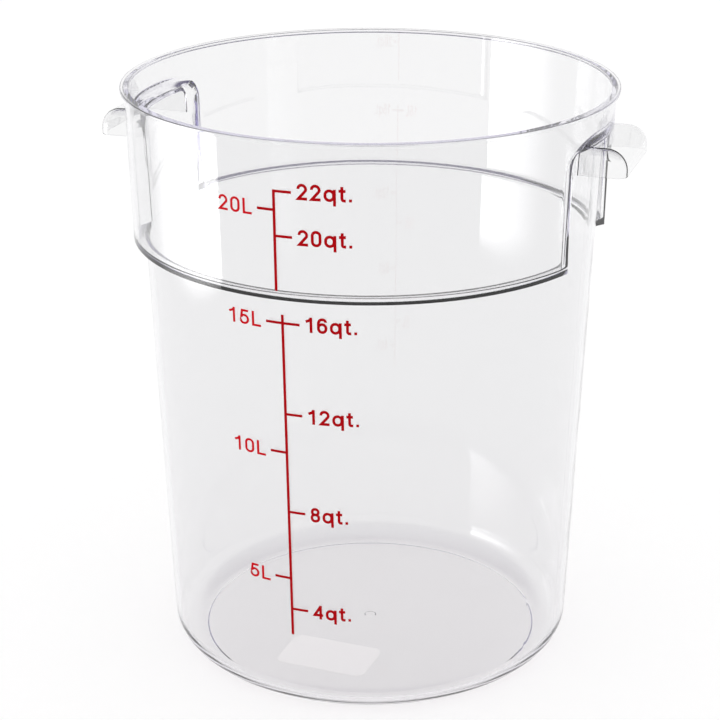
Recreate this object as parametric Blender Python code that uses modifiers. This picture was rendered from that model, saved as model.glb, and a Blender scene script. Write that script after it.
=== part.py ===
"""Clear round food storage container, about 21 litres, with a stepped collar.

Metres, +Z up. The origin is the middle of the foot ring, on the standing
plane. The handles lie on +X and -X, and the printed scale faces -Y.

The real container is one injection moulding of clear polycarbonate: floor,
tapered wall, stepped collar, rim and both hooded handles. On it are a
screen-printed scale, in two lengths because the step breaks it, and a paper
label stuck under the floor.
"""

import math

import bmesh
import bpy
from mathutils import Matrix

# Tapered body and floor. The draft is how much wider the body is at the step
# than on the standing plane.
BODY_HEIGHT = 0.284
BASE_RADIUS = 0.133
BODY_DRAFT = 0.0115
WALL = 0.003
FLOOR_THICKNESS = 0.003
BASE_CORNER_RADIUS = 0.020
FOOT_RING_WIDTH = 0.008
FOOT_RING_HEIGHT = 0.0008

# The step out to the collar, which holds a nested container, and the collar's
# own draft from the step up to the rim
COLLAR_HEIGHT = 0.096
STEP_WIDTH = 0.0075
COLLAR_DRAFT = 0.0026
STEP_EDGE_RADIUS = 0.0015

# Rim flange
RIM_OVERHANG = 0.0024
RIM_DEPTH = 0.005
RIM_EDGE_RADIUS = 0.0008

# Recess in the collar behind each handle: its half width where it meets the
# body's wall, and how much wider it is where it meets the collar's face
RECESS_HALF_WIDTH = 0.0405
RECESS_FLARE = 0.0135
RECESS_BELOW_RIM = 0.0247
RECESS_CORNER_RADIUS = 0.014

# Hooded handle, moulded a little thinner than the wall it stands on. It keeps a
# margin inside the recess, and its top lies a little above the recess's top.
HOOD_MARGIN = 0.0045
HOOD_WALL = 0.0026
HOOD_BEYOND_RIM = 0.015
HOOD_ABOVE_RECESS = 0.001
HOOD_DROP = 0.0165
HOOD_ROUND = 0.013

# Printed scale. Its line stands a few degrees off the middle, in degrees from -Y
# towards -X, because the longer quart labels stand on its right
SCALE_TURN = 3.0
INK_GAP = 0.0003
INK_THICKNESS = 0.0002
LINE_WIDTH = 0.0017
TICK_WIDTH = 0.0016
TICK_REACH = 0.0107

# Base label, under the floor and inside the foot ring
LABEL_GAP = 0.0003
LABEL_THICKNESS = 0.0002
LABEL_LENGTH = 0.062
LABEL_WIDTH = 0.039
LABEL_CORNER_RADIUS = 0.006
LABEL_ACROSS = -0.0085
LABEL_FROM_RING = 0.0428
LABEL_TURN = -3.0

# Cutters and hidden ends run past what they meet by this much
OVERRUN = 0.002

# Points closer together than this are one point
WELD_DISTANCE = 0.00001

# Where the line ends and the marks stand, as shares of the body's height and,
# above the step, of the collar's
BODY_LINE_SHARES = (0.1943, 0.9556)
BODY_QUART_SHARES = (0.2592, 0.4983, 0.7299, 0.9370)
BODY_LITRE_SHARES = (0.3352, 0.6394, 0.9370)
COLLAR_LINE_SHARES = (0.052, 0.6932)
COLLAR_QUART_SHARES = (0.4031, 0.6849)
COLLAR_LITRE_SHARES = (0.5666,)

SEGMENTS = 96
CORNER_STEPS = 7
EDGE_STEPS = 2
RECESS_CORNER_STEPS = 5
HOOD_STEPS = 8
LABEL_CORNER_STEPS = 5

HEIGHT = BODY_HEIGHT + COLLAR_HEIGHT
TAPER = BODY_DRAFT / BODY_HEIGHT
COLLAR_BOTTOM_RADIUS = BASE_RADIUS + BODY_DRAFT + STEP_WIDTH
COLLAR_TOP_RADIUS = COLLAR_BOTTOM_RADIUS + COLLAR_DRAFT
RIM_RADIUS = COLLAR_TOP_RADIUS + RIM_OVERHANG
FLOOR_TOP = FOOT_RING_HEIGHT + FLOOR_THICKNESS
RECESS_TOP = HEIGHT - RECESS_BELOW_RIM
RECESS_OUTER_HALF_WIDTH = RECESS_HALF_WIDTH + RECESS_FLARE
HOOD_HALF_WIDTH = RECESS_HALF_WIDTH - HOOD_MARGIN
HOOD_REACH = RIM_RADIUS + HOOD_BEYOND_RIM
HOOD_TOP = RECESS_TOP + HOOD_ABOVE_RECESS
HOOD_BOTTOM = HOOD_TOP - HOOD_DROP
SIDES = {"right": 1, "left": -1}


def body_radius(z):
    """Outer radius of the tapered wall, carried on past the step."""
    return BASE_RADIUS + TAPER * z


def collar_radius(z):
    """Outer radius of the collar."""
    return COLLAR_BOTTOM_RADIUS + COLLAR_DRAFT * (z - BODY_HEIGHT) / COLLAR_HEIGHT


def wall_radius(z):
    """Outer radius of whichever wall stands at this height."""
    if z < BODY_HEIGHT:
        return body_radius(z)
    return collar_radius(z)


def arc(centre, radius, start, end, steps):
    """Points on a round corner; the angles are in degrees from +X."""
    points = []
    for step in range(steps + 1):
        angle = math.radians(start + (end - start) * step / steps)
        points.append((centre[0] + radius * math.cos(angle), centre[1] + radius * math.sin(angle)))
    return points


def base_corner(radius_at_zero, floor, corner_radius):
    """Round corner between the tapered wall and a flat floor, from wall to floor."""
    lean = math.atan(TAPER)
    centre_height = floor + corner_radius
    centre_across = radius_at_zero + TAPER * centre_height - corner_radius / math.cos(lean)
    return arc((centre_across, centre_height), corner_radius, -math.degrees(lean), -90, CORNER_STEPS)


def foot_ring_inner():
    """Inner radius of the foot ring's flat."""
    corner = base_corner(BASE_RADIUS, 0, BASE_CORNER_RADIUS)
    return corner[-1][0] - FOOT_RING_WIDTH


def new_collection(name):
    """An empty collection in the scene."""
    collection = bpy.data.collections.new(name)
    bpy.context.scene.collection.children.link(collection)
    return collection


def new_object(name, mesh, collection):
    """An object for a mesh or a curve, in one collection."""
    item = bpy.data.objects.new(name, mesh)
    collection.objects.link(item)
    return item


def make_cutter(item):
    """Keep a helper shape out of the finished object."""
    item.hide_render = True
    item.display_type = "WIRE"


def turned(name, profile, collection):
    """A turned solid: the profile runs down its outer side, from the axis to the axis."""
    mesh = bpy.data.meshes.new(name)
    vertices = [(across, 0, up) for across, up in profile]
    edges = [(index, index + 1) for index in range(len(profile) - 1)]
    mesh.from_pydata(vertices, edges, [])
    item = new_object(name, mesh, collection)
    screw = item.modifiers.new("turn", "SCREW")
    screw.steps = SEGMENTS
    screw.render_steps = SEGMENTS
    screw.use_merge_vertices = True
    screw.merge_threshold = WELD_DISTANCE
    screw.use_smooth_shade = True
    return item


def boolean(item, operation, other):
    """Cut or join another shape, live."""
    modifier = item.modifiers.new(other.name, "BOOLEAN")
    modifier.operation = operation
    modifier.solver = "EXACT"
    modifier.object = other


def outer_core(collection):
    """The tapered body as a solid, carried up inside the collar."""
    top = HEIGHT - RIM_DEPTH
    ring_inner = foot_ring_inner()
    profile = [(0, top), (body_radius(top), top)]
    profile += base_corner(BASE_RADIUS, 0, BASE_CORNER_RADIUS)
    profile += [(ring_inner, 0), (ring_inner - FOOT_RING_HEIGHT, FOOT_RING_HEIGHT), (0, FOOT_RING_HEIGHT)]
    return turned("outer_core", profile, collection)


def inner_core(collection):
    """The space inside the tapered body."""
    top = HEIGHT - RIM_DEPTH
    profile = [(0, top), (body_radius(top) - WALL, top)]
    profile += base_corner(BASE_RADIUS - WALL, FLOOR_TOP, BASE_CORNER_RADIUS - WALL)
    profile.append((0, FLOOR_TOP))
    return turned("inner_core", profile, collection)


def collar_solid(name, collection):
    """The collar and rim as a solid disc, before the space inside is taken out."""
    rim_corner = (RIM_RADIUS - RIM_EDGE_RADIUS, HEIGHT - RIM_EDGE_RADIUS)
    under_rim = HEIGHT - RIM_DEPTH
    step_edge = BODY_HEIGHT + STEP_EDGE_RADIUS
    step_centre = (collar_radius(step_edge) - STEP_EDGE_RADIUS, step_edge)
    profile = [(0, HEIGHT)]
    profile += arc(rim_corner, RIM_EDGE_RADIUS, 90, 0, EDGE_STEPS)
    profile += [(RIM_RADIUS, under_rim), (collar_radius(under_rim), under_rim)]
    profile += arc(step_centre, STEP_EDGE_RADIUS, 0, -90, EDGE_STEPS)
    profile.append((0, BODY_HEIGHT))
    return turned(name, profile, collection)


def collar_space(collection):
    """The space inside the collar, with its mouth eased at the rim."""
    ledge = BODY_HEIGHT + WALL
    mouth = collar_radius(HEIGHT) - WALL
    mouth_centre = (mouth + RIM_EDGE_RADIUS, HEIGHT - RIM_EDGE_RADIUS)
    profile = [(0, HEIGHT + OVERRUN), (mouth_centre[0], HEIGHT + OVERRUN)]
    profile += arc(mouth_centre, RIM_EDGE_RADIUS, 90, 180, EDGE_STEPS)
    profile += [(collar_radius(ledge) - WALL, ledge), (0, ledge)]
    return turned("collar_space", profile, collection)


def recess_block(name, side, inset, collection):
    """What a handle's recess takes from the collar, or from the space inside it.

    The block flares outwards in plan, has two round top corners, and leans
    with the body's wall. inset is 0 for the outer face and WALL for the inner.
    """
    middle = (BODY_HEIGHT + RECESS_TOP) / 2
    near = math.sqrt(body_radius(middle) ** 2 - RECESS_HALF_WIDTH ** 2)
    far = math.sqrt(collar_radius(middle) ** 2 - RECESS_OUTER_HALF_WIDTH ** 2)
    flare = RECESS_FLARE / (far - near)
    slant = math.atan(flare)
    near_inset = near - inset * math.sin(slant)
    half_width_near = RECESS_HALF_WIDTH + inset * math.cos(slant)

    start = near_inset - OVERRUN
    end = collar_radius(HEIGHT) + OVERRUN
    bottom = BODY_HEIGHT - OVERRUN
    top = RECESS_TOP + inset
    corner = RECESS_CORNER_RADIUS + inset
    reference = RECESS_OUTER_HALF_WIDTH + inset * math.cos(slant)

    shape = bmesh.new()
    bmesh.ops.create_cube(shape, size=1)
    bmesh.ops.scale(shape, vec=(end - start, 2 * reference, top - bottom), verts=shape.verts)
    bmesh.ops.translate(shape, vec=((start + end) / 2, 0, (top + bottom) / 2), verts=shape.verts)
    top_edges = [
        edge for edge in shape.edges
        if all(vertex.co.z > middle for vertex in edge.verts)
        and edge.verts[0].co.y * edge.verts[1].co.y > 0
    ]
    bmesh.ops.bevel(
        shape, geom=top_edges, offset=corner, segments=RECESS_CORNER_STEPS, profile=0.5, affect="EDGES",
    )
    for vertex in shape.verts:
        half_width = half_width_near + flare * (vertex.co.x - near_inset)
        vertex.co.y *= half_width / reference
        vertex.co.x += TAPER * (vertex.co.z - middle)
        vertex.co.x *= side
    if side < 0:
        bmesh.ops.reverse_faces(shape, faces=shape.faces)
    mesh = bpy.data.meshes.new(name)
    shape.to_mesh(mesh)
    shape.free()
    return new_object(name, mesh, collection)


def hood_outline(inset, root, bottom):
    """Side view of the hood, from its root at the wall over its round nose to its lip."""
    reach = HOOD_REACH - inset
    top = HOOD_TOP - inset
    nose = HOOD_ROUND - inset
    points = [(root, bottom), (root, top)]
    points += arc((reach - nose, top - nose), nose, 90, 0, HOOD_STEPS)
    points.append((reach, bottom))
    return points


def extruded(name, outline, half_width, side, collection):
    """A flat outline in the XZ plane, extruded evenly to both sides along Y."""
    curve = bpy.data.curves.new(name, "CURVE")
    curve.dimensions = "2D"
    curve.fill_mode = "BOTH"
    curve.extrude = half_width
    spline = curve.splines.new("POLY")
    spline.points.add(len(outline) - 1)
    for point, (across, up) in zip(spline.points, outline):
        point.co = (across, up, 0, 1)
    spline.use_cyclic_u = True
    flat = new_object(name + "_outline", curve, collection)
    upright = Matrix.Rotation(math.radians(90), 4, "X")
    if side < 0:
        upright = Matrix.Rotation(math.radians(180), 4, "Z") @ upright
    return curve_to_mesh(flat, name, upright, collection)


def curve_to_mesh(flat, name, placing, collection):
    """The curve's evaluated mesh with its caps welded, placed by a matrix."""
    bpy.context.view_layer.update()
    evaluated = flat.evaluated_get(bpy.context.evaluated_depsgraph_get())
    mesh = bpy.data.meshes.new_from_object(evaluated)
    mesh.name = name
    solid = bmesh.new()
    solid.from_mesh(mesh)
    bmesh.ops.remove_doubles(solid, verts=solid.verts, dist=WELD_DISTANCE)
    bmesh.ops.transform(solid, matrix=placing, verts=solid.verts)
    bmesh.ops.recalc_face_normals(solid, faces=solid.faces)
    solid.to_mesh(mesh)
    solid.free()
    item = new_object(name, mesh, collection)
    bpy.data.objects.remove(flat)
    return item


def hood(side_name, side, collection):
    """One hooded handle: a round-nosed canopy closed at both ends, open below."""
    root = body_radius(HOOD_TOP) - HOOD_HALF_WIDTH
    shell_outline = hood_outline(0, root, HOOD_BOTTOM)
    shell = extruded(side_name + "_hood", shell_outline, HOOD_HALF_WIDTH, side, collection)
    pocket_outline = hood_outline(HOOD_WALL, root - OVERRUN, HOOD_BOTTOM - OVERRUN)
    pocket = extruded(side_name + "_pocket", pocket_outline, HOOD_HALF_WIDTH - HOOD_WALL, side, collection)
    boolean(shell, "DIFFERENCE", pocket)
    return shell


def container_body(collection, cutters):
    """The moulding: collar, less the recesses, plus body and hoods, less the space inside."""
    body = collar_solid("container_body", collection)
    space = collar_space(cutters)
    for side_name, side in SIDES.items():
        boolean(body, "DIFFERENCE", recess_block(side_name + "_recess", side, 0, cutters))
        boolean(space, "DIFFERENCE", recess_block(side_name + "_recess_space", side, WALL, cutters))
    boolean(body, "UNION", outer_core(cutters))
    boolean(space, "UNION", inner_core(cutters))
    for side_name, side in SIDES.items():
        boolean(body, "UNION", hood(side_name, side, cutters))
    boolean(body, "DIFFERENCE", space)
    for cutter in cutters.objects:
        make_cutter(cutter)
    return body


def scale_outline(start, length, line_shares, quart_shares, litre_shares):
    """Flat outline of a printed line: quart ticks to the right, litre ticks to the left.

    The shares are of a length that starts at a height of start.
    """
    bottom = start + line_shares[0] * length
    top = start + line_shares[1] * length
    edge = LINE_WIDTH / 2
    half_tick = TICK_WIDTH / 2
    right = [(edge, bottom)]
    for share in sorted(quart_shares):
        low = start + share * length - half_tick
        high = min(low + TICK_WIDTH, top)
        right += [(edge, low), (TICK_REACH, low), (TICK_REACH, high), (edge, high)]
    if right[-1][1] < top:
        right.append((edge, top))
    left = [(-edge, top)]
    for share in sorted(litre_shares, reverse=True):
        low = start + share * length - half_tick
        high = low + TICK_WIDTH
        left += [(-edge, high), (-TICK_REACH, high), (-TICK_REACH, low), (-edge, low)]
    left.append((-edge, bottom))
    return right + left


def printed_scale(name, outline, collection):
    """One length of the scale, laid flat as an outline and then wrapped on the wall."""
    curve = bpy.data.curves.new(name, "CURVE")
    curve.dimensions = "2D"
    curve.fill_mode = "BOTH"
    curve.extrude = INK_THICKNESS / 2
    spline = curve.splines.new("POLY")
    spline.points.add(len(outline) - 1)
    for point, (across, up) in zip(spline.points, outline):
        point.co = (across, up, 0, 1)
    spline.use_cyclic_u = True
    flat = new_object(name + "_outline", curve, collection)
    item = curve_to_mesh(flat, name, Matrix.Identity(4), collection)
    ink = bmesh.new()
    ink.from_mesh(item.data)
    edge = LINE_WIDTH / 2
    half_reach = (TICK_REACH + edge) / 2
    for across in (-half_reach, -edge, edge, half_reach):
        everything = ink.verts[:] + ink.edges[:] + ink.faces[:]
        bmesh.ops.bisect_plane(
            ink, geom=everything, dist=WELD_DISTANCE, plane_co=(across, 0, 0), plane_no=(1, 0, 0),
        )
    for vertex in ink.verts:
        across, up, out = vertex.co
        radius = wall_radius(up)
        angle = across / radius - math.radians(SCALE_TURN)
        distance = radius + INK_GAP + INK_THICKNESS / 2 + out
        vertex.co = (distance * math.sin(angle), -distance * math.cos(angle), up)
    ink.to_mesh(item.data)
    ink.free()
    return item


def base_label(collection):
    """The paper label, a thin card with round corners."""
    shape = bmesh.new()
    bmesh.ops.create_cube(shape, size=1)
    bmesh.ops.scale(shape, vec=(LABEL_LENGTH, LABEL_WIDTH, LABEL_THICKNESS), verts=shape.verts)
    upright = [edge for edge in shape.edges if edge.verts[0].co.z * edge.verts[1].co.z < 0]
    bmesh.ops.bevel(
        shape, geom=upright, offset=LABEL_CORNER_RADIUS, segments=LABEL_CORNER_STEPS,
        profile=0.5, affect="EDGES",
    )
    mesh = bpy.data.meshes.new("base_label")
    shape.to_mesh(mesh)
    shape.free()
    item = new_object("base_label", mesh, collection)
    forward = foot_ring_inner() - LABEL_FROM_RING
    item.location = (LABEL_ACROSS, -forward, FOOT_RING_HEIGHT - LABEL_GAP - LABEL_THICKNESS / 2)
    item.rotation_euler.z = math.radians(LABEL_TURN)
    return item


def finish(item, name, colour, roughness, transmission=0.0):
    """Give the object its one material."""
    material = bpy.data.materials.new(name)
    material.use_nodes = True
    shader = material.node_tree.nodes["Principled BSDF"]
    shader.inputs["Base Color"].default_value = (*colour, 1)
    shader.inputs["Roughness"].default_value = roughness
    shader.inputs["Metallic"].default_value = 0
    shader.inputs["Transmission Weight"].default_value = transmission
    item.data.materials.clear()
    item.data.materials.append(material)


def clear_scene():
    """Remove whatever the file holds."""
    for item in list(bpy.data.objects):
        bpy.data.objects.remove(item)


def main():
    """Build the four pieces."""
    clear_scene()
    parts = new_collection("food_storage_container")
    cutters = new_collection("cutters")

    body = container_body(parts, cutters)
    finish(body, "clear polycarbonate", (0.92, 0.92, 0.95), 0.05, transmission=1.0)

    body_outline = scale_outline(0, BODY_HEIGHT, BODY_LINE_SHARES, BODY_QUART_SHARES, BODY_LITRE_SHARES)
    collar_outline = scale_outline(
        BODY_HEIGHT, COLLAR_HEIGHT, COLLAR_LINE_SHARES, COLLAR_QUART_SHARES, COLLAR_LITRE_SHARES,
    )
    for name, outline in (("body_scale", body_outline), ("collar_scale", collar_outline)):
        finish(printed_scale(name, outline, parts), "red screen ink", (0.55, 0.005, 0.01), 0.4)

    finish(base_label(parts), "white label paper", (0.85, 0.85, 0.85), 0.6)


main()
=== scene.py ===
# %% [markdown]
# # A clear round food storage container
#
# The object is one injection moulding of clear polycarbonate: a tapered body, a
# step out to a wider collar, a flat rim and two hooded handles that sit in
# recesses of the collar. On it are a screen-printed scale in red ink and a
# label stuck under the floor. Clear plastic has no colour to hide behind, so
# everything that is seen is made by the shape of its two skins, which bend and
# mirror the light. The moulding is therefore modelled with a real wall, with
# rounded edges at their real size, and lit by a bright room and one soft box.

# %% Load the frame
import math

import bpy
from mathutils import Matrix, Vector


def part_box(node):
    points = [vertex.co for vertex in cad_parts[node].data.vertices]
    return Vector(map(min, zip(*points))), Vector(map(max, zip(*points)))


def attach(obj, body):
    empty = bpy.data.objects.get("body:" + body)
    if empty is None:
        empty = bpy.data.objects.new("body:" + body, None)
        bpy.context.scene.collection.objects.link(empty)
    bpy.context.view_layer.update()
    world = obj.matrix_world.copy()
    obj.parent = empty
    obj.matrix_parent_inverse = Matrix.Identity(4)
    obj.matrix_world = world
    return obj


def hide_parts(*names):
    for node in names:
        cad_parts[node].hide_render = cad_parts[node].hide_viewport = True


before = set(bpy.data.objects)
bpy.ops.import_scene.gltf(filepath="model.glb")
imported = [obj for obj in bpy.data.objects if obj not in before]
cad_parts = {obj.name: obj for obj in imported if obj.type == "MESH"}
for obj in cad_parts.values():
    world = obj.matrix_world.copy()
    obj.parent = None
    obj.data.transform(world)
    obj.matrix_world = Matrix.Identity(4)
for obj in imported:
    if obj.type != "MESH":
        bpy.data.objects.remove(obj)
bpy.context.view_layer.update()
moulding_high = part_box("container_body")[1]

# %% [markdown]
# ## Sizes
#
# The height, the rim and the handles' reach come from the frame. The other
# sizes are the container's own, in metres.

# %% Sizes of the container
MM = 0.001
HEIGHT = moulding_high.z
RIM_RADIUS = moulding_high.y
HOOD_REACH = moulding_high.x

WALL = 3 * MM
FLOOR_THICKNESS = 3 * MM
BASE_RADIUS = 133 * MM
BASE_CORNER_RADIUS = 20 * MM
FOOT_RING_WIDTH = 0.5 * MM
FOOT_RING_HEIGHT = 0.8 * MM
STEP_HEIGHT = 283 * MM
BODY_TOP_RADIUS = 144.5 * MM
COLLAR_BOTTOM_RADIUS = 152 * MM
COLLAR_TOP_RADIUS = 154.6 * MM
RECESS_TOP = HEIGHT - 24.7 * MM

TAPER = (BODY_TOP_RADIUS - BASE_RADIUS) / STEP_HEIGHT
COLLAR_TAPER = (COLLAR_TOP_RADIUS - COLLAR_BOTTOM_RADIUS) / (HEIGHT - STEP_HEIGHT)
FLOOR_TOP = FOOT_RING_HEIGHT + FLOOR_THICKNESS


def body_radius(z):
    """Outer radius of the tapered body, carried on past the step."""
    return BASE_RADIUS + TAPER * z


def collar_radius(z):
    """Outer radius of the collar."""
    return COLLAR_BOTTOM_RADIUS + COLLAR_TAPER * (z - STEP_HEIGHT)


print("the rim is", round(2 * RIM_RADIUS / MM, 1), "mm across")
print("over the handles it is", round(2 * HOOD_REACH / MM, 1), "mm")

# %% [markdown]
# ## The camera
#
# The picture was taken from 1.3 m away and 0.3 m above the rim, with a fairly
# long lens. The camera stands 18 degrees round to the right from the front,
# where the scale is, and looks down by 21 degrees. The container's axis stands
# a little right of the picture's middle, which a small lens shift gives.

# %% Place the camera
PICTURE = 720
FOCAL_PIXELS = 2065
SENSOR = 36
CAMERA_DISTANCE = 1.2764
CAMERA_HEIGHT = 0.6821
CAMERA_AZIMUTH = math.radians(18)
CAMERA_PITCH = math.radians(21.04)
AXIS_PIXEL = 370.3

camera_data = bpy.data.cameras.new("camera")
camera_data.sensor_width = SENSOR
camera_data.lens = FOCAL_PIXELS * SENSOR / PICTURE
camera_data.shift_x = (PICTURE / 2 - AXIS_PIXEL) / PICTURE
camera = bpy.data.objects.new("camera", camera_data)
camera.location = (
    CAMERA_DISTANCE * math.sin(CAMERA_AZIMUTH), -CAMERA_DISTANCE * math.cos(CAMERA_AZIMUTH), CAMERA_HEIGHT,
)
camera.rotation_euler = (math.pi / 2 - CAMERA_PITCH, 0, CAMERA_AZIMUTH)
bpy.context.scene.collection.objects.link(camera)
bpy.context.scene.camera = camera
print("camera lens", round(camera_data.lens, 1), "mm")

# %% [markdown]
# ## Small helpers
#
# Operators act on all that is selected, so each piece starts by clearing the
# selection. A colour is written as it looks on a screen, in hex, and one
# function turns it into the linear numbers that the renderer adds up.

# %% Helpers
def pick(item):
    """Select one object alone and make it the active one."""
    bpy.ops.object.select_all(action="DESELECT")
    item.select_set(True)
    bpy.context.view_layer.objects.active = item


def linear(code, alpha=1.0):
    """A hex colour as linear red, green, blue and alpha."""
    shares = [int(code[place:place + 2], 16) / 255 for place in (1, 3, 5)]
    values = [share / 12.92 if share <= 0.04045 else ((share + 0.055) / 1.055) ** 2.4 for share in shares]
    return (*values, alpha)


def node(tree, kind, settings=None, inputs=None):
    """Add a shader node, give it its settings, and set or link its inputs by name or number."""
    made = tree.nodes.new(kind)
    for name, value in (settings or {}).items():
        setattr(made, name, value)
    for name, value in (inputs or {}).items():
        if isinstance(name, int):
            socket = made.inputs[name]
        else:
            socket = [item for item in made.inputs if item.enabled and item.name == name][0]
        if isinstance(value, bpy.types.Node):
            value = [item for item in value.outputs if item.enabled][0]
        if isinstance(value, bpy.types.NodeSocket):
            tree.links.new(value, socket)
        else:
            socket.default_value = value
    return made


def new_material(name):
    """An empty node material and its output node."""
    material = bpy.data.materials.new(name)
    material.use_nodes = True
    material.node_tree.nodes.clear()
    return material, material.node_tree


def dress(item, material):
    """Give a piece one material."""
    item.data.materials.clear()
    item.data.materials.append(material)


print("a middle grey, #808080, is", round(linear("#808080")[0], 3), "in linear light")

# %% [markdown]
# ## The moulding's section
#
# A pot like this is drawn as one line: from the middle of the underside, out
# over the foot ring, up the wall, over the step and the rim, and back down the
# inside to the middle of the floor. The line is a row of corners, and each
# corner is rounded with its own radius. Outside, the edge of the step is crisp
# and its underside rises by 2 mm towards the body. That face turns the view
# through the plastic away from the bright walls, to the dim ceiling or back
# into the wall, so a dark band lies along the edge. Inside, the ledge is 4 mm
# higher. Its corner at the collar is nearly sharp, which keeps the line that it
# draws thin, and its lower corner and the floor's are round. The inner skin has
# extra rows of points where the recesses will bend it. The round gate mark in
# the underside's middle is a guess: hot plastic enters such a mould there.

# %% Draw the section
STEP_RISE = 2 * MM
STEP_FILLET = 0.6 * MM
STEP_EDGE = 0.35 * MM
LEDGE_HEIGHT = 4 * MM
LEDGE_HOLLOW = 0.4 * MM
LEDGE_ROUND = 3 * MM
RIM_LIP = 2.4 * MM
RIM_EDGE = 0.6 * MM
RECESS_EDGE = RECESS_TOP + 2 * MM
PRESS_HALF_WIDTH = 43.8 * MM
PRESS_WIDTH = 8 * MM
PRESS_CORNER = 11 * MM
FLANK_STRETCH = 2
GATE_RADIUS = 4 * MM
GATE_DEPTH = 0.5 * MM
ROW_MARGIN = 1 * MM
EDGE_ROWS = 22
CORNER_ROWS = 14
PLAIN_ROWS = 8


def rounded(corners):
    """The line through corners, made round: each is given as across, up, radius and steps."""
    points = []
    for index, (across, up, radius, steps) in enumerate(corners):
        place = Vector((across, up))
        if not radius:
            points.append(place)
            continue
        back = (Vector(corners[index - 1][:2]) - place).normalized()
        ahead = (Vector(corners[(index + 1) % len(corners)][:2]) - place).normalized()
        half = back.angle(ahead) / 2
        centre = place + (back + ahead).normalized() * radius / math.sin(half)
        start = place + back * radius / math.tan(half) - centre
        end = place + ahead * radius / math.tan(half) - centre
        points += [centre + start.slerp(end, step / steps).normalized() * radius for step in range(steps + 1)]
    return points


def inner_rows(high, low, steps):
    """Plain points down the collar's inner skin."""
    rows = [high + (low - high) * step / steps for step in range(steps)]
    return [(collar_radius(up) - WALL, up, 0, 0) for up in rows]


under_floor = FOOT_RING_HEIGHT
ring_inner = BASE_RADIUS - BASE_CORNER_RADIUS - FOOT_RING_WIDTH
under_rim = HEIGHT - RIM_LIP
mouth_radius = collar_radius(HEIGHT) - WALL
ledge = STEP_HEIGHT + LEDGE_HEIGHT
section = rounded([
    (0, under_floor + GATE_DEPTH, 0, 0),
    (GATE_RADIUS - GATE_DEPTH, under_floor + GATE_DEPTH, 0, 0),
    (GATE_RADIUS, under_floor, 0, 0),
    (ring_inner - under_floor, under_floor, 0, 0),
    (ring_inner, 0, 0, 0),
    (BASE_RADIUS, 0, BASE_CORNER_RADIUS, 16),
    (body_radius(STEP_HEIGHT), STEP_HEIGHT + STEP_RISE, STEP_FILLET, 4),
    (COLLAR_BOTTOM_RADIUS, STEP_HEIGHT, STEP_EDGE, 3),
    (collar_radius(under_rim), under_rim, RIM_EDGE, 3),
    (RIM_RADIUS, under_rim, RIM_EDGE, 3),
    (RIM_RADIUS, HEIGHT, RIM_EDGE, 4),
    (mouth_radius, HEIGHT, RIM_EDGE, 4),
    *inner_rows(RECESS_EDGE + PRESS_WIDTH, RECESS_EDGE - ROW_MARGIN, EDGE_ROWS),
    *inner_rows(RECESS_EDGE - ROW_MARGIN, RECESS_EDGE - PRESS_CORNER, CORNER_ROWS),
    *inner_rows(RECESS_EDGE - PRESS_CORNER, ledge + LEDGE_HOLLOW + ROW_MARGIN, PLAIN_ROWS),
    (collar_radius(ledge) - WALL, ledge, LEDGE_HOLLOW, 10),
    (body_radius(ledge) - WALL, ledge, LEDGE_ROUND, 10),
    (body_radius(FLOOR_TOP) - WALL, FLOOR_TOP, BASE_CORNER_RADIUS - WALL, 14),
    (0, FLOOR_TOP, 0, 0),
])
print("the section has", len(section), "points")

# %% [markdown]
# ## Spin the section
#
# A turned shape is a section spun round its axis. Only a quarter is spun,
# because the container is alike left and right, front and back, and a Mirror
# makes the rest. The columns stand close beside the handle, where the inner
# skin will bend, and wider apart where the wall is plain.

# %% Spin a quarter
# Each stretch is a distance along the wall from the middle of the handle, at
# the flank's radius, with the number of steps up to it.
FLANK_RADIUS = 150 * MM
STRETCHES = ((16 * MM, 6), (62 * MM, 62), (FLANK_RADIUS * math.pi / 2, 56))
WELD = 0.01 * MM

section_mesh = bpy.data.meshes.new("container_moulding")
section_mesh.from_pydata(
    [(across, 0, up) for across, up in section],
    [(index, index + 1) for index in range(len(section) - 1)],
    [],
)
moulding = bpy.data.objects.new("container_moulding", section_mesh)
bpy.context.scene.collection.objects.link(moulding)
pick(moulding)
bpy.ops.object.mode_set(mode="EDIT")
bpy.ops.mesh.select_all(action="SELECT")
turned = 0
for distance, steps in STRETCHES:
    angle = distance / FLANK_RADIUS - turned
    bpy.ops.mesh.spin(steps=steps, angle=angle, center=(0, 0, 0), axis=(0, 0, 1))
    turned += angle
bpy.ops.mesh.select_all(action="SELECT")
bpy.ops.mesh.remove_doubles(threshold=WELD)
bpy.ops.object.mode_set(mode="OBJECT")
print("a quarter of the pot has", len(moulding.data.polygons), "faces")

# %% [markdown]
# ## Press the recesses into the inner skin
#
# Behind each handle the collar goes back to the line of the tapered body. On
# the inside this is a soft form: over a few millimetres round an arched
# outline, open below, the inner skin swings from the collar's line to the
# body's line. Each point of the inner skin is moved by its distance from the
# outline. A Mirror on both axes then makes the whole pot.

# %% Press the inner skin and mirror it
def outside(across, up):
    """How far a point lies outside the recess's outline; inside it is negative."""
    beyond_side = (across - PRESS_HALF_WIDTH) / FLANK_STRETCH + PRESS_CORNER
    beyond_top = up - RECESS_EDGE + PRESS_CORNER
    out = math.hypot(max(beyond_side, 0), max(beyond_top, 0))
    return out + min(max(beyond_side, beyond_top), 0) - PRESS_CORNER


def swing(share):
    """From 0 to 1 in a smooth double bend."""
    share = min(max(share, 0), 1)
    return share * share * (3 - 2 * share)


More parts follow.
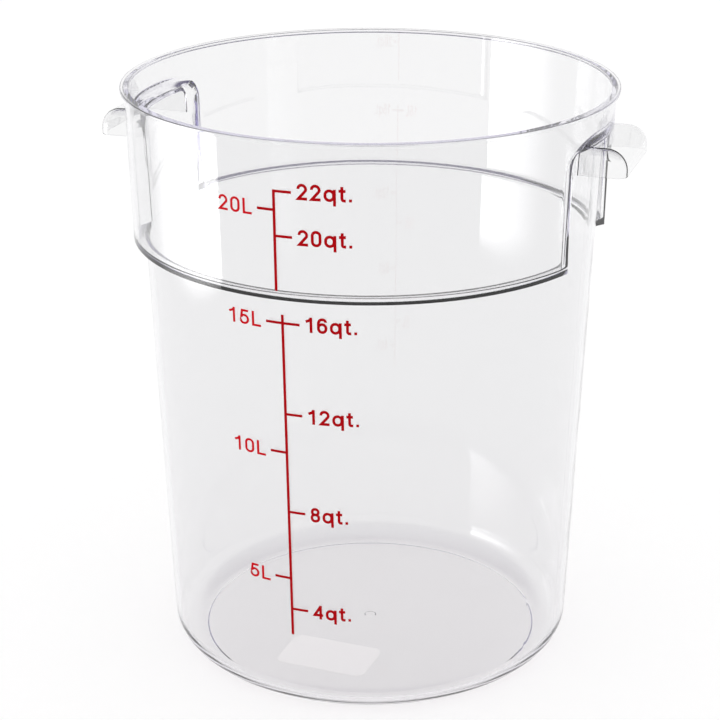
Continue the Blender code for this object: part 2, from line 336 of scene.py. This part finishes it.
for vertex in moulding.data.vertices:
    place = vertex.co
    radius = math.hypot(place.x, place.y)
    line = body_radius(place.z) - WALL
    on_outer_skin = radius > collar_radius(place.z) - WALL + WELD
    on_step = place.z < STEP_HEIGHT + STEP_RISE + STEP_FILLET and radius > line + WALL / 2
    if place.z < STEP_HEIGHT - LEDGE_ROUND or on_outer_skin or on_step or radius <= line:
        continue
    across = FLANK_RADIUS * math.atan2(-place.y, place.x)
    pressed = line + (radius - line) * swing(outside(across, place.z) / PRESS_WIDTH)
    place.x *= pressed / radius
    place.y *= pressed / radius

mirror = moulding.modifiers.new("mirror", "MIRROR")
mirror.use_axis = (True, True, False)
mirror.merge_threshold = WELD
pick(moulding)
bpy.ops.object.modifier_apply(modifier="mirror")
bpy.ops.object.mode_set(mode="EDIT")
bpy.ops.mesh.select_all(action="SELECT")
bpy.ops.mesh.remove_doubles(threshold=WELD)
bpy.ops.mesh.dissolve_degenerate(threshold=WELD)
bpy.ops.mesh.normals_make_consistent(inside=False)
bpy.ops.object.mode_set(mode="OBJECT")
print("the whole pot has", len(moulding.data.polygons), "faces")

# %% [markdown]
# ## Blocks, cones and joins
#
# The recesses and hoods have straight sides, so they start as blocks. A cone
# that follows the wall's line trims each block to the pot's round shape, and a
# Boolean cuts or joins. Edges to bevel are chosen by where their ends lie. A
# cut keeps off a surface by a small clearance, because two faces in one plane
# confuse a Boolean.

# %% Tools for blocks, cones and joins
CONE_SIDES = 1024
CONE_BELOW = 40 * MM
CONE_ABOVE = 20 * MM
CLEARANCE = 0.02 * MM


def select_edges(item, test):
    """In edit mode, select the edges whose two ends pass a test together."""
    bpy.ops.mesh.select_mode(type="EDGE")
    bpy.ops.mesh.select_all(action="DESELECT")
    bpy.ops.object.mode_set(mode="OBJECT")
    corners = item.data.vertices
    for edge in item.data.edges:
        edge.select = test(*(corners[index].co for index in edge.vertices))
    bpy.ops.object.mode_set(mode="EDIT")


def join_shape(item, operation, other):
    """Cut or join another object, apply it and remove that object."""
    modifier = item.modifiers.new("join", "BOOLEAN")
    modifier.operation = operation
    modifier.solver = "EXACT"
    modifier.object = other
    pick(item)
    bpy.ops.object.modifier_apply(modifier="join")
    bpy.data.objects.remove(other)


def block(name, low, high):
    """A box between two opposite corners."""
    bpy.ops.object.select_all(action="DESELECT")
    bpy.ops.mesh.primitive_cube_add(size=1, location=[(one + two) / 2 for one, two in zip(low, high)])
    made = bpy.context.object
    made.name = name
    made.scale = [two - one for one, two in zip(low, high)]
    bpy.ops.object.transform_apply(location=True, rotation=True, scale=True)
    return made


def cone(inset):
    """A solid cone that follows the tapered body's line, pulled in by an inset."""
    low = STEP_HEIGHT - CONE_BELOW
    high = HEIGHT + CONE_ABOVE
    bpy.ops.object.select_all(action="DESELECT")
    bpy.ops.mesh.primitive_cone_add(
        vertices=CONE_SIDES, radius1=body_radius(low) - inset, radius2=body_radius(high) - inset,
        depth=high - low, location=(0, 0, (low + high) / 2),
    )
    return bpy.context.object


print("a cone along the wall has", CONE_SIDES, "sides")

# %% [markdown]
# ## Cut the recesses into the outer skin
#
# On the outside the recess is crisp. A block that slides in from the side of
# the mould shapes it. Its sides flare outwards, so that it can slide out again:
# they leave a ramp on either flank, a flat ledge on top and two round top
# corners. Here too a block does it. The straight block is bevelled first and
# flared after, because a bevel on slanting sides crosses itself. Trimmed to the
# body's line, it is taken out of the pot and leaves a 3 mm wall.

# %% Cut the recesses
RECESS_HALF_WIDTH = 54.8 * MM
RECESS_FOOT = 43 * MM
RECESS_CORNER = 14 * MM
RECESS_CORNER_STEPS = 16
RECESS_MIDDLE = (STEP_HEIGHT + RECESS_TOP) / 2
BLOCK_NEAR = 136 * MM
BLOCK_FAR = 160 * MM
BLOCK_BELOW = 10 * MM

edge_reach = math.sqrt(collar_radius(RECESS_MIDDLE) ** 2 - RECESS_HALF_WIDTH ** 2)
foot_reach = math.sqrt(body_radius(RECESS_MIDDLE) ** 2 - RECESS_FOOT ** 2)
flare = (RECESS_HALF_WIDTH - RECESS_FOOT) / (edge_reach - foot_reach)
for side in (1, -1):
    near, far = sorted((side * BLOCK_NEAR, side * BLOCK_FAR))
    low = (near, -RECESS_HALF_WIDTH, STEP_HEIGHT - BLOCK_BELOW)
    cutter = block("cutter", low, (far, RECESS_HALF_WIDTH, RECESS_EDGE))
    bpy.ops.object.mode_set(mode="EDIT")
    select_edges(cutter, lambda one, two: one.y * two.y > 0 and min(one.z, two.z) > RECESS_EDGE - WELD)
    bpy.ops.mesh.bevel(offset=RECESS_CORNER, segments=RECESS_CORNER_STEPS, affect="EDGES")
    bpy.ops.object.mode_set(mode="OBJECT")
    for vertex in cutter.data.vertices:
        vertex.co.y += math.copysign(1, vertex.co.y) * (abs(vertex.co.x) - edge_reach) * flare
    join_shape(cutter, "DIFFERENCE", cone(-CLEARANCE))
    join_shape(moulding, "DIFFERENCE", cutter)
    print("a recess on side", side, "leaves", len(moulding.data.polygons), "faces")

# %% [markdown]
# ## The hooded handles
#
# Each handle is a small canopy: a flat top, a round nose that turns down to a
# lip, closed ends, and open below, where fingers go in. Its outside is a block
# whose long top edge and two outer corners are bevelled round. A second block,
# one wall smaller, is taken out of the first, which keeps the wall even round
# the nose. Then it is cut to the curve of the body's wall, half way through
# that wall, and joined to the moulding on either side.

# %% Model the hoods and join them
HOOD_TOP = RECESS_TOP + 1 * MM
HOOD_DROP = 16.5 * MM
HOOD_HALF_WIDTH = 36 * MM
HOOD_NOSE = 13 * MM
HOOD_NOSE_STEPS = 14
HOOD_END_ROUND = 6 * MM
HOOD_END_STEPS = 6
HOOD_WALL = 1.6 * MM
HOOD_ROOT = 110 * MM
HOOD_RAISE = 0.5 * MM
LIP_EDGE = 0.5 * MM
LIP_STEPS = 2


def hood_block(side, margin):
    """The outside of a hood, or with a margin its hollow; side is 1 right, -1 left."""
    root, tip = HOOD_ROOT - margin, HOOD_REACH - margin
    top = HOOD_TOP + HOOD_RAISE - margin
    bottom = HOOD_TOP - HOOD_DROP * (2 if margin else 1)
    half_width = HOOD_HALF_WIDTH - margin
    near, far = sorted((side * root, side * tip))
    made = block("hood", (near, -half_width, bottom), (far, half_width, top))
    bpy.ops.object.mode_set(mode="EDIT")
    select_edges(
        made,
        lambda one, two: min(abs(one.x), abs(two.x)) > tip - WELD and min(one.z, two.z) > top - WELD,
    )
    bpy.ops.mesh.bevel(offset=HOOD_NOSE - margin, segments=HOOD_NOSE_STEPS, affect="EDGES")
    select_edges(
        made,
        lambda one, two: one.y * two.y > 0 and min(abs(one.y), abs(two.y)) > half_width - WELD
        and max(one.z, two.z) > bottom + WELD and max(abs(one.x), abs(two.x)) > root + WELD,
    )
    bpy.ops.mesh.bevel(offset=HOOD_END_ROUND - margin, segments=HOOD_END_STEPS, affect="EDGES")
    bpy.ops.object.mode_set(mode="OBJECT")
    return made


for side in (1, -1):
    hood = hood_block(side, 0)
    join_shape(hood, "DIFFERENCE", hood_block(side, HOOD_WALL))
    lip = HOOD_TOP - HOOD_DROP + WELD
    bpy.ops.object.mode_set(mode="EDIT")
    select_edges(
        hood,
        lambda one, two: max(one.z, two.z) < lip and max(abs(one.x), abs(two.x)) > HOOD_ROOT + WELD,
    )
    bpy.ops.mesh.bevel(offset=LIP_EDGE, segments=LIP_STEPS, affect="EDGES")
    bpy.ops.object.mode_set(mode="OBJECT")
    join_shape(hood, "DIFFERENCE", cone(WALL / 2))
    join_shape(moulding, "UNION", hood)
    print("a hood on side", side, "leaves", len(moulding.data.polygons), "faces")

# %% [markdown]
# ## Shade the moulding
#
# Faces that meet at less than 35 degrees are shaded as one smooth skin, and
# sharper edges stay crisp. The Booleans leave slivers beside the large faces.
# Weighted normals lets the large faces decide how light falls at a shared
# corner, so the slivers show no smudges in the clear wall.

# %% Shade the moulding and hide the part it replaces
CRISP_ANGLE = math.radians(35)
LARGE_FACES_DECIDE = 100

pick(moulding)
bpy.ops.object.shade_smooth_by_angle(angle=CRISP_ANGLE)
flatter = moulding.modifiers.new("flat faces stay flat", "WEIGHTED_NORMAL")
flatter.keep_sharp = True
flatter.weight = LARGE_FACES_DECIDE
bpy.ops.object.modifier_apply(modifier=flatter.name)
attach(moulding, "root")
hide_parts("container_body")
print("the whole moulding has", len(moulding.data.polygons), "faces")

# %% [markdown]
# ## Clear polycarbonate
#
# Polycarbonate bends light more than glass does, and polished moulds leave it
# glossy, with a slow ripple that only moves the reflections a little. It is
# sold with a trace of blue dye that hides its own yellow tint. Through one wall
# that is only a cool grey. Along the step, the rim and the flanks of the
# recesses the light is turned and caught inside the plastic, or comes from the
# dim ceiling, and this draws the dark lines. Shadows would take far too many
# bounces through two skins a wall, so plain light goes straight through, and
# each skin takes a small share of it.

# %% Make the polycarbonate
POLYCARBONATE_IOR = 1.585
WALL_TINT = "#F5F5F5"
SKIN_SHADE = "#FAF9F9"
DYE = "#BCB1ED"
DYE_DENSITY = 4
RIPPLE_LENGTH = 45 * MM
RIPPLE_DEPTH = 0.04 * MM


def polycarbonate():
    """Moulded against polished steel: clear and glossy, with a slow ripple in what it mirrors."""
    material, tree = new_material("clear polycarbonate, injection moulded")
    place = node(tree, "ShaderNodeTexCoord").outputs["Object"]
    ripple = node(
        tree, "ShaderNodeTexNoise", None, {"Vector": place, "Scale": 1 / RIPPLE_LENGTH, "Detail": 1},
    )
    bump = node(
        tree, "ShaderNodeBump", None, {"Strength": 1, "Distance": RIPPLE_DEPTH, "Height": ripple},
    )
    plastic = node(tree, "ShaderNodeBsdfPrincipled", None, {
        "Base Color": linear(WALL_TINT), "Roughness": 0, "IOR": POLYCARBONATE_IOR,
        "Transmission Weight": 1, "Normal": bump,
    })
    path = node(tree, "ShaderNodeLightPath").outputs
    clear = node(tree, "ShaderNodeBsdfTransparent", None, {"Color": linear(SKIN_SHADE)})
    surface = node(tree, "ShaderNodeMixShader", None, {0: path["Is Diffuse Ray"], 1: plastic, 2: clear})
    surface = node(tree, "ShaderNodeMixShader", None, {0: path["Is Shadow Ray"], 1: surface, 2: clear})
    dye = node(
        tree, "ShaderNodeVolumeAbsorption", None, {"Color": linear(DYE), "Density": DYE_DENSITY},
    )
    node(tree, "ShaderNodeOutputMaterial", None, {"Surface": surface, "Volume": dye})
    return material


dress(moulding, polycarbonate())
print("the moulding is of", moulding.data.materials[0].name)

# %% [markdown]
# ## The numbers beside the scale
#
# The line and its ticks are already in the frame. The numbers are printed with
# them, in a plain grotesque face. Only eleven characters are needed, so each is
# drawn here as pen strokes: corners that are rounded, in units of the digit's
# height, and a pen of even weight. The quarts are drawn with a heavier pen
# than the litres.

# %% Draw the characters
# The middle of a stroke runs this far inside the digit's box.
PEN = 0.08
# Two arcs of a bowl keep this much straight line between them.
BOWL_FLAT = 0.005
# Past this a sharp corner is cut off, as a share of the pen's width.
MITRE_SHARE = 0.4


def bowl(left, low, right, high):
    """A closed round stroke that fills a box."""
    radius = min(right - left, high - low) / 2 - BOWL_FLAT
    corners = ((left, low), (right, low), (right, high), (left, high))
    return [(across, up, radius, 8) for across, up in corners]


# Each character: its width, the gap after it, its closed strokes and its open strokes.
CHARACTERS = {
    "0": (0.64, 0.18, [bowl(PEN, PEN, 0.56, 0.92)], []),
    "1": (0.46, 0.32, [], [
        [(0.38, 0, 0, 0), (0.38, 1, 0, 0)],
        [(0.40, 0.94, 0, 0), (0.27, 0.80, 0.1, 4), (0.05, 0.71, 0, 0)],
    ]),
    "2": (0.65, 0.18, [], [[
        (0.09, 0.68, 0, 0), (0.09, 0.92, 0.22, 8), (0.56, 0.92, 0.24, 8), (0.56, 0.60, 0.14, 5),
        (0.10, PEN, 0, 0), (0.64, PEN, 0, 0),
    ]]),
    "4": (0.68, 0.18, [], [
        [(0.50, 0, 0, 0), (0.50, 1, 0, 0)],
        [(0.50, 0.94, 0, 0), (0.09, 0.29, 0, 0), (0.67, 0.29, 0, 0)],
    ]),
    "5": (0.65, 0.18, [], [
        [(0.60, 0.92, 0, 0), (0.18, 0.92, 0, 0), (0.11, 0.44, 0, 0)],
        [
            (0.10, 0.46, 0, 0), (0.24, 0.61, 0.12, 4), (0.57, 0.61, 0.24, 8), (0.57, PEN, 0.25, 8),
            (0.08, PEN, 0.22, 8), (0.07, 0.27, 0, 0),
        ],
    ]),
    "6": (0.64, 0.18, [bowl(PEN, PEN, 0.56, 0.60)], [
        [(0.08, 0.34, 0, 0), (0.08, 0.92, 0.27, 8), (0.54, 0.92, 0.17, 6), (0.54, 0.74, 0, 0)],
    ]),
    "8": (0.64, 0.18, [bowl(0.11, 0.53, 0.53, 0.92), bowl(PEN, PEN, 0.56, 0.53)], []),
    "L": (0.62, 0.18, [], [[(0.09, 1, 0, 0), (0.09, PEN, 0, 0), (0.60, PEN, 0, 0)]]),
    "q": (0.73, 0.15, [bowl(PEN, PEN, 0.60, 0.67)], [[(0.65, 0.75, 0, 0), (0.65, -0.28, 0, 0)]]),
    "t": (0.46, 0.18, [], [
        [(0.22, 0.94, 0, 0), (0.22, PEN, 0.12, 4), (0.45, PEN, 0, 0)],
        [(0.02, 0.67, 0, 0), (0.44, 0.67, 0, 0)],
    ]),
    ".": (0.18, 0, [], [[(0.09, 0, 0, 0), (0.09, 0.18, 0, 0)]]),
}


def ribbon(points, closed, weight):
    """The two edges of a pen stroke and the faces between them."""
    edges = []
    for index, point in enumerate(points):
        here_before = points[index - 1] if closed or index > 0 else None
        here_after = points[(index + 1) % len(points)] if closed or index < len(points) - 1 else None
        away = (here_after - point if here_after is not None else point - here_before).normalized()
        towards = (point - here_before if here_before is not None else here_after - point).normalized()
        along = (towards + away).normalized()
        half = weight / 2 / max(along.dot(away), MITRE_SHARE)
        edges += [point + Vector((-along.y, along.x)) * half, point - Vector((-along.y, along.x)) * half]
    steps = range(len(points) if closed else len(points) - 1)
    faces = [[2 * step, 2 * step + 1, 2 * step + 3, 2 * step + 2] for step in steps]
    return edges, [[corner % len(edges) for corner in face] for face in faces]


def written(words, weight):
    """Points and faces of a line of characters, and its width, in units of the digit's height."""
    points, faces, across, width = [], [], 0, 0
    for letter in words:
        letter_width, gap, loops, lines = CHARACTERS[letter]
        for stroke, closed in [(loop, True) for loop in loops] + [(line, False) for line in lines]:
            edges, quads = ribbon(rounded(stroke), closed, weight)
            faces += [[corner + len(points) for corner in quad] for quad in quads]
            points += [(edge.x + across, edge.y) for edge in edges]
        width = across + letter_width
        across = width + gap
    return points, faces, width


print("drew", len(CHARACTERS), "characters")

# %% [markdown]
# ## Print the numbers
#
# Each number is laid round the wall: across the text becomes a distance along
# the wall, up stays up. Then Solidify gives the ink its thickness. It stands
# just off the plastic, so that the two never share a surface.

# %% Print the numbers
INK_GAP = 0.3 * MM
INK_THICKNESS = 0.2 * MM
INK_WELD = WELD / 10
SCALE_AZIMUTH = math.radians(-3)
NUMBER_START = 14.1 * MM
QUART_DIGITS = 9.6 * MM
LITRE_DIGITS = 9.5 * MM
QUART_PEN = 0.178
LITRE_PEN = 0.145

# Height of the number's middle, words and printed width, in mm.
QUART_MARKS = (
    (350.5, "22qt.", 31.9),
    (322.9, "20qt.", 31.7),
    (266.7, "16qt.", 30.9),
    (207.3, "12qt.", 31.0),
    (141.5, "8qt.", 23.2),
    (73.6, "4qt.", 23.7),
)
LITRE_MARKS = (
    (338.4, "20L", 23.2),
    (266.1, "15L", 23.2),
    (181.6, "10L", 23.2),
    (95.2, "5L", 15.1),
)


def numbers(name, marks, digits, weight, side):
    """All numbers of one unit as one film of ink: side 1 stands right of the line, -1 left of it."""
    places, quads = [], []
    for height, words, width in marks:
        points, faces, drawn = written(words, weight)
        quads += [[corner + len(places) for corner in face] for face in faces]
        for across, up in points:
            along = across / drawn * width * MM + (NUMBER_START if side > 0 else -NUMBER_START - width * MM)
            level = height * MM + (up - 0.5) * digits
            wall = body_radius(level) if level < STEP_HEIGHT else collar_radius(level)
            angle = SCALE_AZIMUTH + along / wall
            outwards = wall + INK_GAP
            places.append((outwards * math.sin(angle), -outwards * math.cos(angle), level))
    mesh = bpy.data.meshes.new(name)
    mesh.from_pydata(places, [], quads)
    made = bpy.data.objects.new(name, mesh)
    bpy.context.scene.collection.objects.link(made)
    pick(made)
    bpy.ops.object.mode_set(mode="EDIT")
    bpy.ops.mesh.select_all(action="SELECT")
    bpy.ops.mesh.remove_doubles(threshold=INK_WELD)
    bpy.ops.mesh.normals_make_consistent(inside=False)
    bpy.ops.object.mode_set(mode="OBJECT")
    thick = made.modifiers.new("ink film", "SOLIDIFY")
    thick.thickness = INK_THICKNESS
    thick.offset = 0
    bpy.ops.object.modifier_apply(modifier=thick.name)
    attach(made, "root")
    print(name, "has", len(made.data.polygons), "faces")
    return made


quart_numbers = numbers("quart_numbers", QUART_MARKS, QUART_DIGITS, QUART_PEN, 1)
litre_numbers = numbers("litre_numbers", LITRE_MARKS, LITRE_DIGITS, LITRE_PEN, -1)

# %% [markdown]
# ## Screen ink
#
# Screen ink for polycarbonate is a dense film with hardly any shine. It is laid
# down through a woven mesh, so its tone is a little uneven at the width of a
# few threads. The litres are a lighter red than the quarts and the lines.

# %% Make the ink
INK_MOTTLE = 1.2 * MM
INK_RELIEF = 0.02 * MM


def screen_ink(name, colour, shade):
    """Printed through a woven mesh: dense and nearly matt, with a slightly uneven tone."""
    material, tree = new_material(name)
    place = node(tree, "ShaderNodeTexCoord").outputs["Object"]
    mottle = node(tree, "ShaderNodeTexNoise", None, {
        "Vector": place, "Scale": 1 / INK_MOTTLE, "Detail": 3, "Roughness": 0.6,
    })
    tone = node(tree, "ShaderNodeMix", {"data_type": "RGBA"}, {
        "Factor": mottle, "A": linear(colour), "B": linear(shade),
    })
    bump = node(
        tree, "ShaderNodeBump", None, {"Strength": 0.3, "Distance": INK_RELIEF, "Height": mottle},
    )
    film = node(tree, "ShaderNodeBsdfPrincipled", None, {
        "Base Color": tone, "Roughness": 0.5, "Specular IOR Level": 0.05, "Normal": bump,
    })
    node(tree, "ShaderNodeOutputMaterial", None, {"Surface": film})
    return material


quart_ink = screen_ink("screen-printed epoxy ink, red", "#B8000C", "#AA000A")
litre_ink = screen_ink("screen-printed epoxy ink, light red", "#D80A1C", "#CC0818")
dress(quart_numbers, quart_ink)
dress(litre_numbers, litre_ink)
dress(bpy.data.objects["body_scale"], quart_ink)
dress(bpy.data.objects["collar_scale"], quart_ink)
print("printed with", quart_ink.name, "and", litre_ink.name)

# %% [markdown]
# ## The label
#
# The label under the floor is matt white film, and through the floor it is a
# pale rounded patch. It is to look brighter than plain white under a clear
# floor comes out, so a faint glow is painted on it. This is painted light, which
# the film itself doesn't give off. Its grain is coarser than the real one, which
# is too fine to show.

# %% Make the label
LABEL_GRAIN = 0.8 * MM
# Strength of the label's painted glow: painted light that makes it brighter than its lighting does.
LABEL_PAINTED_GLOW = 0.27
WHITE = linear("#FFFFFF")


def label_film():
    """Coated film: matt, white and evenly pale, with a faint grain and a faint painted glow."""
    material, tree = new_material("matt white label film")
    place = node(tree, "ShaderNodeTexCoord").outputs["Object"]
    grain = node(tree, "ShaderNodeTexNoise", None, {
        "Vector": place, "Scale": 1 / LABEL_GRAIN, "Detail": 4, "Roughness": 0.6,
    })
    tone = node(tree, "ShaderNodeMix", {"data_type": "RGBA"}, {
        "Factor": grain, "A": linear("#F8F7F6"), "B": linear("#EEEDEC"),
    })
    # Painted light: the emission is a faint white glow that the film doesn't give off.
    film = node(tree, "ShaderNodeBsdfPrincipled", None, {
        "Base Color": tone, "Roughness": 0.6,
        "Emission Color": WHITE, "Emission Strength": LABEL_PAINTED_GLOW,
    })
    node(tree, "ShaderNodeOutputMaterial", None, {"Surface": film})
    return material


dress(bpy.data.objects["base_label"], label_film())

# %% [markdown]
# ## The room
#
# Clear plastic is seen by what it mirrors and bends. So the room has white
# walls, and a dim violet ceiling that gives the edges and folds something dark
# to show. That ceiling is there for reflections and refractions alone. All
# other light is plain white and comes evenly from every side, so the shadow on
# the floor stays soft.

# %% Light the room
ROOM_LIGHT = 1.0
WALL_TOP = math.sin(math.radians(27))
CEILING_START = math.sin(math.radians(40))
CEILING = "#3A2E60"
LESS_THAN_ONE_BOUNCE = 0.5


def seen_by(tree, rays):
    """1 for these kinds of ray before any soft bounce, 0 for all others."""
    path = node(tree, "ShaderNodeLightPath").outputs
    seen = path[rays[0]]
    for ray in rays[1:]:
        seen = node(tree, "ShaderNodeMath", {"operation": "MAXIMUM"}, {0: seen, 1: path[ray]})
    first = node(
        tree, "ShaderNodeMath", {"operation": "LESS_THAN"},
        {0: path["Diffuse Depth"], 1: LESS_THAN_ONE_BOUNCE},
    )
    return node(tree, "ShaderNodeMath", {"operation": "MULTIPLY"}, {0: seen, 1: first})


def bright_room():
    """White walls and a dim ceiling for what plastic mirrors and bends, plain white light for the rest."""
    world = bpy.data.worlds.new("bright room")
    world.use_nodes = True
    tree = world.node_tree
    tree.nodes.clear()
    towards = node(tree, "ShaderNodeTexCoord").outputs["Generated"]
    up = node(tree, "ShaderNodeSeparateXYZ", None, {"Vector": towards}).outputs["Z"]
    rise = node(
        tree, "ShaderNodeMapRange", {"interpolation_type": "SMOOTHSTEP"},
        {"Value": up, "From Min": WALL_TOP, "From Max": CEILING_START},
    )
    room = node(tree, "ShaderNodeMix", {"data_type": "RGBA"}, {
        "Factor": rise, "A": WHITE, "B": linear(CEILING),
    })
    bent = seen_by(tree, ("Is Glossy Ray", "Is Transmission Ray"))
    colour = node(tree, "ShaderNodeMix", {"data_type": "RGBA"}, {"Factor": bent, "A": WHITE, "B": room})
    light = node(tree, "ShaderNodeBackground", None, {"Color": colour, "Strength": ROOM_LIGHT})
    node(tree, "ShaderNodeOutputWorld", None, {"Surface": light})
    bpy.context.scene.world = world


bright_room()
print("the room is", bpy.context.scene.world.name)

# %% [markdown]
# ## The floor
#
# The floor is plain white card, far wider than the picture. A little glow lifts
# it to the pale tone of a studio floor, but only where the camera, a reflection
# or a view through the plastic shows it, so it throws no light on the object.

# %% Lay the floor
FLOOR_SIZE = 8
FLOOR_CARD = "#E7E7E7"
FLOOR_GLOW = 0.22


def white_card():
    """Matt card: pale, even and without any shine."""
    bpy.ops.object.select_all(action="DESELECT")
    bpy.ops.mesh.primitive_plane_add(size=FLOOR_SIZE, location=(0, 0, 0))
    floor = bpy.context.object
    floor.name = "floor"
    material, tree = new_material("white card")
    seen = seen_by(tree, ("Is Camera Ray", "Is Glossy Ray", "Is Transmission Ray"))
    glow = node(tree, "ShaderNodeMath", {"operation": "MULTIPLY"}, {0: seen, 1: FLOOR_GLOW})
    card = node(tree, "ShaderNodeBsdfDiffuse", None, {"Color": linear(FLOOR_CARD)})
    shine = node(tree, "ShaderNodeEmission", None, {"Color": WHITE, "Strength": glow})
    both = node(tree, "ShaderNodeAddShader", None, {0: card, 1: shine})
    node(tree, "ShaderNodeOutputMaterial", None, {"Surface": both})
    dress(floor, material)


white_card()
print("the floor is", FLOOR_SIZE, "m wide")

# %% [markdown]
# ## The soft box
#
# One upright soft box stands on the floor at the left. Its mirror image is the
# white patch at the left of the collar, and the same light makes the soft patch
# on the right of the body. It shines most at its edge near the camera, and
# fades to its far edge, to the floor and to its top. The fades read where on
# the lamp a point lies. The camera doesn't see it, and it adds nothing to the
# plain light on the floor and the print.

# %% Set up the soft box
PANEL_AZIMUTH = math.radians(-74.7)
PANEL_DISTANCE = 0.73
PANEL_WIDTH = 0.653
PANEL_HEIGHT = 0.5
PANEL_RADIANCE = 5.0
LOW_FADE = 0.05
HIGH_FADE_START = 0.22
HIGH_FADE_END = 0.38


def soft_box():
    """An upright lamp, turned to the object, that shines most at its edge near the camera."""
    light = bpy.data.lights.new("soft box", "AREA")
    light.shape = "RECTANGLE"
    light.size = PANEL_WIDTH
    light.size_y = PANEL_HEIGHT
    light.energy = PANEL_RADIANCE * math.pi * PANEL_WIDTH * PANEL_HEIGHT
    light.use_nodes = True
    tree = light.node_tree
    tree.nodes.clear()
    place = node(tree, "ShaderNodeNewGeometry").outputs["Position"]
    across = (math.cos(PANEL_AZIMUTH), math.sin(PANEL_AZIMUTH), 0)
    along = node(tree, "ShaderNodeVectorMath", {"operation": "DOT_PRODUCT"}, {0: place, 1: across})
    up = node(tree, "ShaderNodeSeparateXYZ", None, {"Vector": place}).outputs["Z"]
    fade = 1
    for value, dark, bright in (
        (along.outputs["Value"], -PANEL_WIDTH / 2, PANEL_WIDTH / 2),
        (up, 0, LOW_FADE),
        (up, HIGH_FADE_END, HIGH_FADE_START),
    ):
        share = node(
            tree, "ShaderNodeMapRange", {"interpolation_type": "SMOOTHSTEP"},
            {"Value": value, "From Min": dark, "From Max": bright},
        )
        fade = node(tree, "ShaderNodeMath", {"operation": "MULTIPLY"}, {0: share, 1: fade})
    shine = node(tree, "ShaderNodeEmission", None, {"Strength": fade})
    node(tree, "ShaderNodeOutputLight", None, {"Surface": shine})
    lamp = bpy.data.objects.new("soft box", light)
    lamp.location = (
        PANEL_DISTANCE * math.sin(PANEL_AZIMUTH),
        -PANEL_DISTANCE * math.cos(PANEL_AZIMUTH),
        PANEL_HEIGHT / 2,
    )
    lamp.rotation_euler = (math.pi / 2, 0, PANEL_AZIMUTH)
    lamp.visible_camera = False
    lamp.visible_diffuse = False
    bpy.context.scene.collection.objects.link(lamp)


soft_box()
print("the soft box shines with", round(bpy.data.lights["soft box"].energy, 2), "W")

# %% [markdown]
# ## Finish
#
# The Standard view shows the colours as they are. Every wall is two skins and
# the pot is seen through itself, so light may pass many skins before it is
# given up.

# %% Finish
MOST_BOUNCES = 32
MOST_SKINS = 24

bpy.context.scene.view_settings.view_transform = "Standard"
bpy.context.scene.cycles.max_bounces = MOST_BOUNCES
bpy.context.scene.cycles.glossy_bounces = MOST_SKINS
bpy.context.scene.cycles.transmission_bounces = MOST_SKINS
